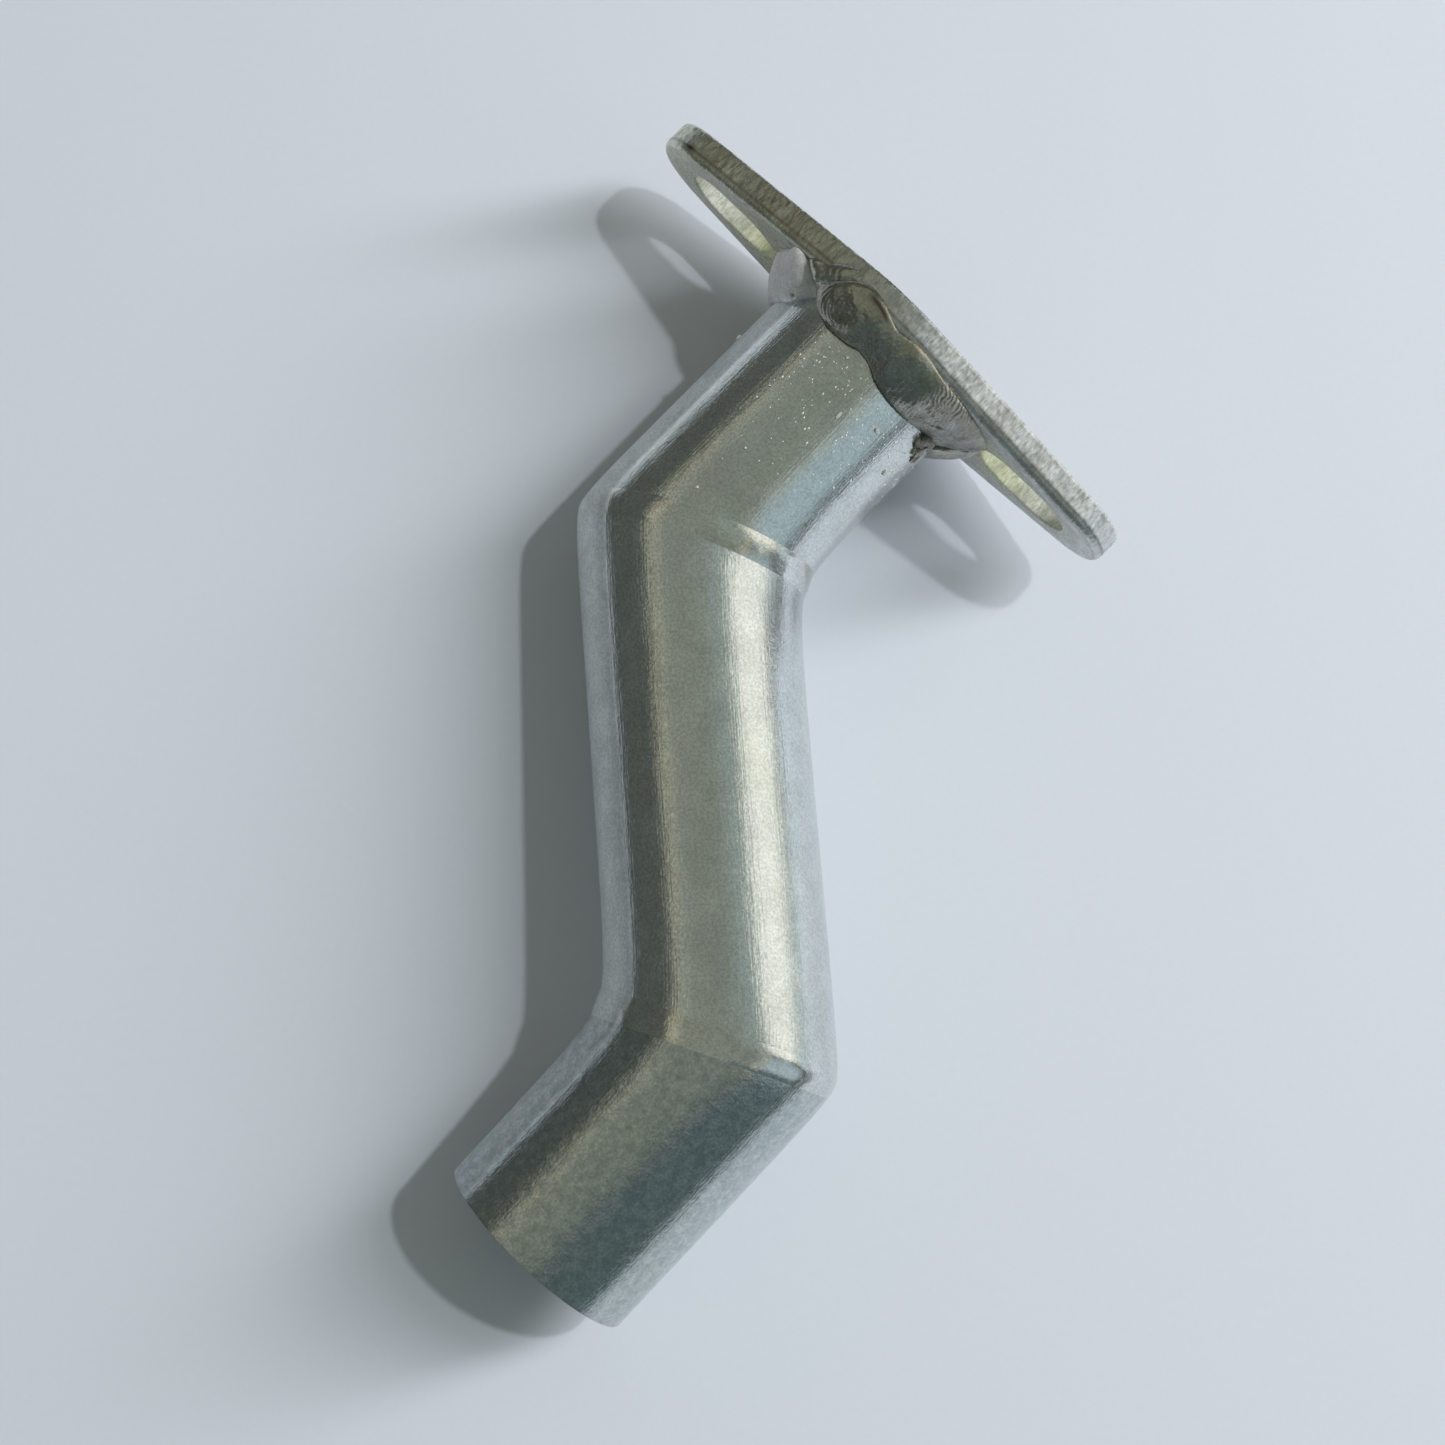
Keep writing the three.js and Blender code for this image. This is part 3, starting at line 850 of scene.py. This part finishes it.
# %% The four runs
bead_run("front_weld_run", "front_fillet_run", -16, 119, [
    (-16, 3.0, 0.0, 21.0, 0.3), (0, 4.8, 0.0, 24.0, 0.5), (6, 5.2, 0.0, 24.5, 0.55),
    (19, 5.7, 0.0, 24.8, 0.7), (30, 6.5, 0.0, 24.5, 0.9), (38, 6.9, 0.0, 23.9, 1.2),
    (46, 7.0, -0.3, 22.9, 1.5), (50, 6.95, -0.75, 22.3, 1.7), (56, 6.8, -1.16, 22.1, 1.9),
    (62, 6.3, -1.08, 22.0, 1.9), (68, 5.4, -0.45, 22.0, 1.5), (71, 5.1, -0.3, 21.9, 1.4),
    (75, 4.9, -0.82, 22.0, 1.6), (79, 4.8, -1.56, 22.05, 1.9), (83, 5.3, -2.1, 22.05, 2.2),
    (87, 5.4, -2.4, 22.05, 2.4), (91, 5.5, -2.5, 22.05, 2.4), (96, 5.4, -1.9, 22.05, 2.3),
    (100, 5.3, -0.95, 22.0, 2.1), (104, 5.0, 0.0, 21.7, 2.0), (109, 3.9, 0.3, 21.0, 1.8),
    (113, 2.9, 0.4, 20.2, 1.5), (119, 1.2, 0.5, 18.5, 1.0)],
    nose=(10, 9), ripple=(0.8, 0.02), seed=31, arch_power=0.5, detail=front_detail)
bead_run("crater_weld_run", "crater_fillet_run", 98, 143, [
    (98, 1.5, -3.4, 22.1, 2.7), (107, 1.6, -2.5, 22.1, 2.6), (112, 1.8, -1.1, 22.4, 2.1),
    (117, 2.0, 0.0, 23.2, 1.0), (121, 2.2, 0.0, 22.6, 0.4), (133, 2.6, 0.0, 21.5, 0.1),
    (143, 3.0, 0.0, 20.5, 0.1)],
    nose=(7, 7), ripple=(1.0, 0.02), seed=33, arch_power=0.5, detail=crater_detail)
bead_run("side_weld_run", "side_fillet_run", 115, 247, [
    (115, 2.4, 1.6, 18.0, 0.3), (119, 3.2, 1.3, 19.0, 0.6), (122, 3.9, 0.0, 23.0, 1.0),
    (125, 4.7, 0.0, 24.2, 1.1), (129, 5.4, 0.0, 24.0, 1.1), (134, 6.0, 0.0, 22.8, 1.1),
    (152, 6.4, 0.0, 22.0, 1.0), (170, 6.6, 0.0, 21.7, 0.9), (200, 6.6, 0.0, 21.5, 0.8),
    (247, 6.0, 0.0, 21.3, 0.9)],
    nose=(5, 6), ripple=(1.2, 0.02), seed=35, detail=side_detail, metal=pale_zinc)
bead_run("rear_weld_run", "rear_fillet_run", 243, 350, [
    (243, 6.0, 0.0, 21.2, 0.9), (300, 6.4, 0.0, 21.4, 1.0), (350, 5.0, 0.0, 22.5, 0.7)],
    nose=(8, 8), ripple=(1.1, 0.07), seed=37)

# %% [markdown]
# ## Spatter
#
# Welding throws drops of metal that freeze where they land. A few are big enough to see
# as beads, a fine dust of them near the weld is white and matt, a painted glint that makes
# the upper tube sparkle, and a lump of slag sticks under the end of the weld. A particle
# system could scatter them, but the big ones each have their place, and most of those
# places were measured on the real weld by another script. The dust is drawn at random from
# a fixed seed. Each kind is small balls joined into one mesh.

# %% Spatter
BALL_ROWS, BALL_COLUMNS = 7, 12
DUST_COUNT, DUST_REACH = 280, 34


def drops(name, places, seed, lumpy, metal, dark=0.0, pale=0.0):
    """Small beads on the upper tube, each (distance along it, degrees, size, stretch)."""
    random = np.random.default_rng(seed)
    up, around = np.meshgrid(np.linspace(0, math.pi, BALL_ROWS),
                             np.linspace(0, 2 * math.pi, BALL_COLUMNS, endpoint=False),
                             indexing="ij")
    ball = np.stack([np.sin(up) * np.cos(around), np.sin(up) * np.sin(around), np.cos(up)], -1)
    ball = ball.reshape(-1, 3)
    points, faces = [], []
    for along, degrees, size, stretch in places:
        a = math.radians(degrees)
        radial = math.cos(a) * bend_side + math.sin(a) * bend_normal
        side = np.cross(upper_way, radial)
        uneven = 1 + lumpy * wander(ball, 1.2, int(random.integers(1000)))
        shape = ball * size * uneven[:, None]
        centre = flange_centre + along * upper_way + (RADIUS + 0.25 * size) * radial
        faces += grid_faces(BALL_ROWS, BALL_COLUMNS, len(points) * len(ball))
        points.append(centre + shape[:, :1] * stretch * upper_way + shape[:, 1:2] * side
                      + shape[:, 2:] * 0.8 * radial)
    points = np.concatenate(points)
    make_piece(name, points, faces, metal, None, "fillet_bead", points,
               soot=np.full(len(points), dark), frost=np.full(len(points), pale))


big_drops = [
    (14.1, 154.6, 0.50, 1.0), (7.0, 79.7, 0.35, 1.0), (12.7, 93.3, 0.22, 1.0),
    (7.4, 97.9, 0.24, 1.0), (8.0, 96.0, 0.20, 1.0), (14.1, 61.7, 0.30, 2.2),
    (11.2, 40.6, 0.45, 1.0), (14.1, 15.0, 0.42, 1.2), (37.0, 87.1, 0.25, 1.0),
    (27.7, 83.8, 0.25, 1.0), (18.5, 50.0, 0.20, 1.6), (22.0, 35.0, 0.22, 1.0)]
slag_drops = [(6.3, 12, 1.0, 1.5), (7.4, 7, 0.9, 1.6), (8.6, 3, 0.6, 1.6), (5.6, 3, 1.1, 1.1),
              (6.9, 14, 0.6, 1.2)]
random = np.random.default_rng(5)
dust_drops = [(6 + random.exponential(9.0), random.uniform(-15, 100),
               random.uniform(0.06, 0.13), random.uniform(0.8, 2.0)) for _ in range(DUST_COUNT)]
dust_drops = [drop for drop in dust_drops if drop[0] < DUST_REACH]
drops("weld_spatter", big_drops, 41, 0.12, pale_zinc, pale=0.35)
# painted glint: the white, matt dust stands in for sparkle
drops("weld_dust", dust_drops, 42, 0.1, glint_white_zinc, pale=0.9)
drops("slag_lump", slag_drops, 43, 0.35, bead_zinc, dark=0.30, pale=0.3)

# %% [markdown]
# ## Floor
#
# The fitting lies on a sheet of pale bluish paper. A plane is all it takes: the fibre is
# too fine to need more than a faint noise in its colour. The bright strip down the far
# side of each tube is narrower than endless paper would make it, as if the real sheet
# ended not far to the left with something darker beyond. So the floor paints a dark
# reflection: past a line to the left it turns dark for reflection rays only, so that it
# looks like plain paper from every side.

# %% Floor
FLOOR_HALF = 6
PAPER_LOW, PAPER_HIGH = (0.715, 0.742, 0.812), (0.745, 0.772, 0.842)
# painted reflection: the dark that reflection rays see on the floor, and where it starts and is
# full
REFLECTED_DARK, REFLECTED_DARK_FROM, REFLECTED_DARK_FULL = (0.10, 0.115, 0.11), -0.15, -0.20
corners = [(-1, -1), (1, -1), (1, 1), (-1, 1)]
floor_mesh = bpy.data.meshes.new("floor")
floor_mesh.from_pydata([(FLOOR_HALF * x, FLOOR_HALF * y, 0) for x, y in corners],
                       [], [(0, 1, 2, 3)])
floor = bpy.data.objects.new("floor", floor_mesh)
floor.location.z = cad_low.z - 0.0001
bpy.context.scene.collection.objects.link(floor)
paper = bpy.data.materials.new("pale_paper")
paper.use_nodes = True
tree = paper.node_tree
place = node_of(tree, "ShaderNodeTexCoord").outputs["Object"]
fibre = node_of(tree, "ShaderNodeTexNoise", {
    "Vector": place, "Scale": 900.0, "Detail": 3.0}).outputs["Fac"]
shade = blend_colour(tree, fibre, PAPER_LOW, PAPER_HIGH)
across = node_of(tree, "ShaderNodeSeparateXYZ", {"Vector": place}).outputs["X"]
in_reflections = node_of(tree, "ShaderNodeLightPath").outputs["Is Glossy Ray"]
# painted reflection: past the line, only reflection rays see the floor dark
painted_reflection = arithmetic(tree, "MULTIPLY", spread(tree, across, REFLECTED_DARK_FROM, REFLECTED_DARK_FULL), in_reflections)
shade = blend_colour(tree, painted_reflection, shade, REFLECTED_DARK)
tree.links.new(shade, tree.nodes["Principled BSDF"].inputs["Base Color"])
tree.nodes["Principled BSDF"].inputs["Roughness"].default_value = 0.85
tree.nodes["Principled BSDF"].inputs["Specular IOR Level"].default_value = 0.2
floor_mesh.materials.append(paper)
print("floor at", round(floor.location.z / MM, 2), "mm")

# %% [markdown]
# ## Room
#
# Bare metal shows the room more than it shows light: the bands along the tubes are the
# pale window on the right, the ceiling, and the dark wall on the left. Walls and a
# ceiling could be modelled, and would catch stray light of their own. Here the room is a
# dark sky with soft round patches of brightness laid over it one after another, which
# keeps each band's colour, edge and place in three or four numbers.

# %% Room
DARK_WALLS = (0.092, 0.100, 0.092)
scene = bpy.context.scene
scene.view_settings.view_transform = "Standard"
scene.view_settings.look = "None"
room = bpy.data.worlds.new("room")
room.use_nodes = True
scene.world = room
tree = room.node_tree
way = node_of(tree, "ShaderNodeTexCoord").outputs["Generated"]


def towards(azimuth, elevation):
    """A unit vector: azimuth from +X towards +Y, elevation above the floor, in degrees."""
    a, e = math.radians(azimuth), math.radians(elevation)
    return (math.cos(a) * math.cos(e), math.sin(a) * math.cos(e), math.sin(e))


def patch(azimuth, elevation, full, none):
    """A soft round patch: 1 within full degrees of its middle, and 0 beyond none degrees."""
    dot = node_of(tree, "ShaderNodeVectorMath", operation="DOT_PRODUCT")
    tree.links.new(way, dot.inputs[0])
    dot.inputs[1].default_value = towards(azimuth, elevation)
    made = node_of(tree, "ShaderNodeMapRange", {
        "Value": dot.outputs["Value"], "From Min": math.cos(math.radians(none)),
        "From Max": math.cos(math.radians(full))}, interpolation_type="SMOOTHSTEP")
    return made.outputs["Result"]


room_patches = (  # colour, azimuth, elevation, whole within, gone beyond
    ((0.60, 0.55, 0.41), 130, 84, 43, 46),  # top of the far walls
    ((0.245, 0.262, 0.222), 125, 84, 37, 42),  # ceiling
    ((0.30, 0.35, 0.33), 27, 58, 10, 22),  # ceiling near the window
    ((1.06, 1.04, 0.94), 17, 30, 14, 26),  # window
    ((0.55, 0.63, 0.64), 0, 4, 10, 18),  # sill
    ((0.42, 0.51, 0.54), -38, 32, 15, 29),  # wall beside the window
    ((0.12, 0.155, 0.16), -102, 12, 48, 54))  # someone standing at the near side
light = DARK_WALLS
for colour, *where in room_patches:
    light = blend_colour(tree, patch(*where), light, colour)
background = tree.nodes["Background"]
tree.links.new(light, background.inputs["Color"])
background.inputs["Strength"].default_value = 1.0
print("room patches:", len(room_patches))

# %% [markdown]
# ## Sun and window strip
#
# The patches give reflections but hardly a shadow. A weak, slightly soft sun from the
# right casts the crisp shadow of the flange, and a tall narrow strip of window beside it
# casts the wide soft one that fades to the left. Seen in the tubes, either would add a
# bright line that the room patches already give, so both lamps are hidden from
# reflections.

# %% Sun
sun_data = bpy.data.lights.new("soft_sun", "SUN")
sun_data.energy = 0.57
sun_data.angle = math.radians(2.0)
sun_data.color = (0.93, 0.97, 1.0)
sun = bpy.data.objects.new("soft_sun", sun_data)
sun.rotation_mode = "QUATERNION"
sun.rotation_quaternion = Vector((-0.40, -0.083, -0.913)).to_track_quat("-Z", "Y")
sun.visible_glossy = False
scene.collection.objects.link(sun)

# %% Window strip
STRIP_AWAY, STRIP_HIGH, STRIP_WIDE = 1.2, 1.04, 0.20
STRIP_AZIMUTH, STRIP_ELEVATION = 11, 43
strip_data = bpy.data.lights.new("window_strip", "AREA")
strip_data.shape = "RECTANGLE"
strip_data.size, strip_data.size_y = STRIP_WIDE, STRIP_HIGH
strip_data.energy = 9.9
strip_data.color = (0.95, 0.975, 1.0)
strip = bpy.data.objects.new("window_strip", strip_data)
strip_way = Vector(towards(STRIP_AZIMUTH, STRIP_ELEVATION))
strip.location = strip_way * STRIP_AWAY
strip.rotation_mode = "QUATERNION"
strip.rotation_quaternion = strip_way.to_track_quat("Z", "Y")
strip.visible_glossy = False
strip.visible_camera = False
scene.collection.objects.link(strip)
